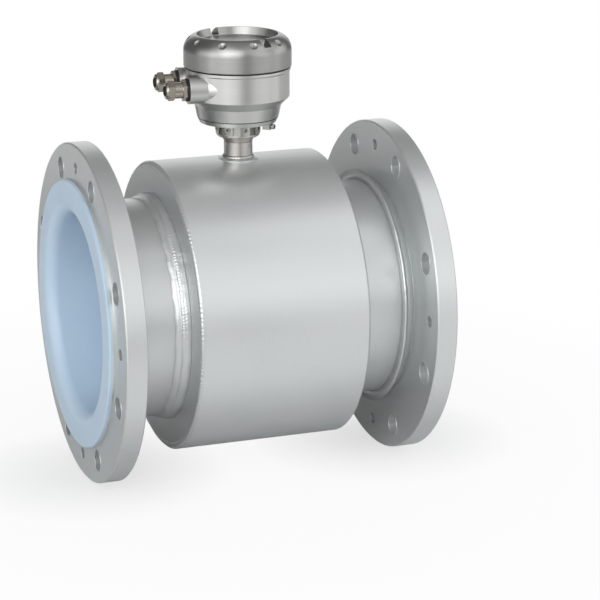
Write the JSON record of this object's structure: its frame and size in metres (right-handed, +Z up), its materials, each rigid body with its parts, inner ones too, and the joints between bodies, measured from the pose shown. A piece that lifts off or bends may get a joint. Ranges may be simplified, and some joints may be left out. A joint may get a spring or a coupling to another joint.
{
  "type": "electromagnetic flow meter",
  "caption": "Flanged electromagnetic flow sensor: lined steel tube, coil housing, and a screw-lidded stainless connection box on a short neck.",
  "frame": {"origin": "middle of the flow bore, where the neck's axis meets it", "axes": "+X along the bore in the flow direction, from inlet to outlet; +Z up the neck to the connection box; the cable glands point to -X"},
  "size_m": [0.35, 0.34, 0.4406],
  "materials": {
    "painted_steel": "satin silver-grey paint",
    "painted_weld": "silver-grey paint over weld ripples",
    "liner_blue": "smooth pale blue lining",
    "copper_winding": "varnished copper wire",
    "magnetic_steel": "dull electrical sheet",
    "electrode_alloy": "polished alloy",
    "insulating_plastic": "turned plastic",
    "lead_insulation": "smooth sleeve",
    "neck_stainless": "turned, bare",
    "box_stainless": "turned and satin polished",
    "screw_steel": "bright",
    "black_rubber": "matt",
    "nickel_brass": "nickel plated",
    "terminal_plastic": "moulded"
  },
  "bodies": {
    "sensor": {"base_gasket": "black_rubber", "box_base_plate": "box_stainless", "box_lock_nut": "neck_stainless", "coil_link_lead": "lead_insulation", "connection_box": "box_stainless", "field_coil_lead": "lead_insulation", "front_electrode": "electrode_alloy", "front_electrode_bush": "insulating_plastic", "front_electrode_lead": "lead_insulation", "front_electrode_nut": "electrode_alloy", "front_electrode_spring": "electrode_alloy", "front_gland_body": "nickel_brass", "front_gland_washer": "black_rubber", "ground_lug": "screw_steel", "ground_screw": "screw_steel", "housing_shell": "painted_steel", "inlet_end_plate": "painted_steel", "inlet_flange": "painted_steel", "inlet_flange_weld": "painted_weld", "inlet_plate_weld": "painted_weld", "inlet_shell_weld": "painted_weld", "liner": "liner_blue", "lower_field_coil": "copper_winding", "lower_pole_shoe": "magnetic_steel", "magnetic_yoke": "magnetic_steel", "measuring_tube": "painted_steel", "neck_base_weld": "neck_stainless", "neck_pipe": "neck_stainless", "neck_saddle": "neck_stainless", "neck_spigot": "neck_stainless", "outlet_end_plate": "painted_steel", "outlet_flange": "painted_steel", "outlet_flange_weld": "painted_weld", "outlet_plate_weld": "painted_weld", "outlet_shell_weld": "painted_weld", "rear_electrode": "electrode_alloy", "rear_electrode_bush": "insulating_plastic", "rear_electrode_lead": "lead_insulation", "rear_electrode_nut": "electrode_alloy", "rear_electrode_spring": "electrode_alloy", "rear_gland_body": "nickel_brass", "rear_gland_washer": "black_rubber", "ring_nut": "neck_stainless", "ring_nut_screws": "screw_steel", "terminal_block": "terminal_plastic", "terminal_carrier": "terminal_plastic", "terminal_screws": "screw_steel", "upper_field_coil": "copper_winding", "upper_pole_shoe": "magnetic_steel"},
    "lid_seal": {"lid_seal": "black_rubber"},
    "lid": {"lid": "box_stainless"},
    "front_gland_insert": {"front_gland_insert": "black_rubber"},
    "front_gland_cap": {"front_gland_cap": "nickel_brass"},
    "rear_gland_insert": {"rear_gland_insert": "black_rubber"},
    "rear_gland_cap": {"rear_gland_cap": "nickel_brass"}
  },
  "joints": [
    {"name": "lid_lift", "type": "slide", "parent": "sensor", "child": "lid_seal", "axis": [0, 0, 1], "range_m": [0, 0.02]},
    {"name": "lid_turn", "type": "hinge", "parent": "lid_seal", "child": "lid", "pos_m": [0, 0, 0.2394], "axis": [0, 0, 1], "range_deg": [0, 3600]},
    {"name": "front_cap_travel", "type": "slide", "parent": "sensor", "child": "front_gland_insert", "axis": [-0.9971, 0.0767, 0], "range_m": [0, 0.0045]},
    {"name": "front_cap_turn", "type": "hinge", "parent": "front_gland_insert", "child": "front_gland_cap", "pos_m": [-0.07176, -0.01755, 0.2214], "axis": [-0.9971, 0.0767, 0], "range_deg": [0, 1080]},
    {"name": "rear_cap_travel", "type": "slide", "parent": "sensor", "child": "rear_gland_insert", "axis": [-0.9971, 0.0767, 0], "range_m": [0, 0.0045]},
    {"name": "rear_cap_turn", "type": "hinge", "parent": "rear_gland_insert", "child": "rear_gland_cap", "pos_m": [-0.06823, 0.02832, 0.2214], "axis": [-0.9971, 0.0767, 0], "range_deg": [0, 1080]}
  ],
  "couplings": [
    {"joint": "lid_lift", "follows": "lid_turn", "m_per_rad": 0.00031831},
    {"joint": "front_cap_travel", "follows": "front_cap_turn", "m_per_rad": 0.00023873},
    {"joint": "rear_cap_travel", "follows": "rear_cap_turn", "m_per_rad": 0.00023873}
  ]
}
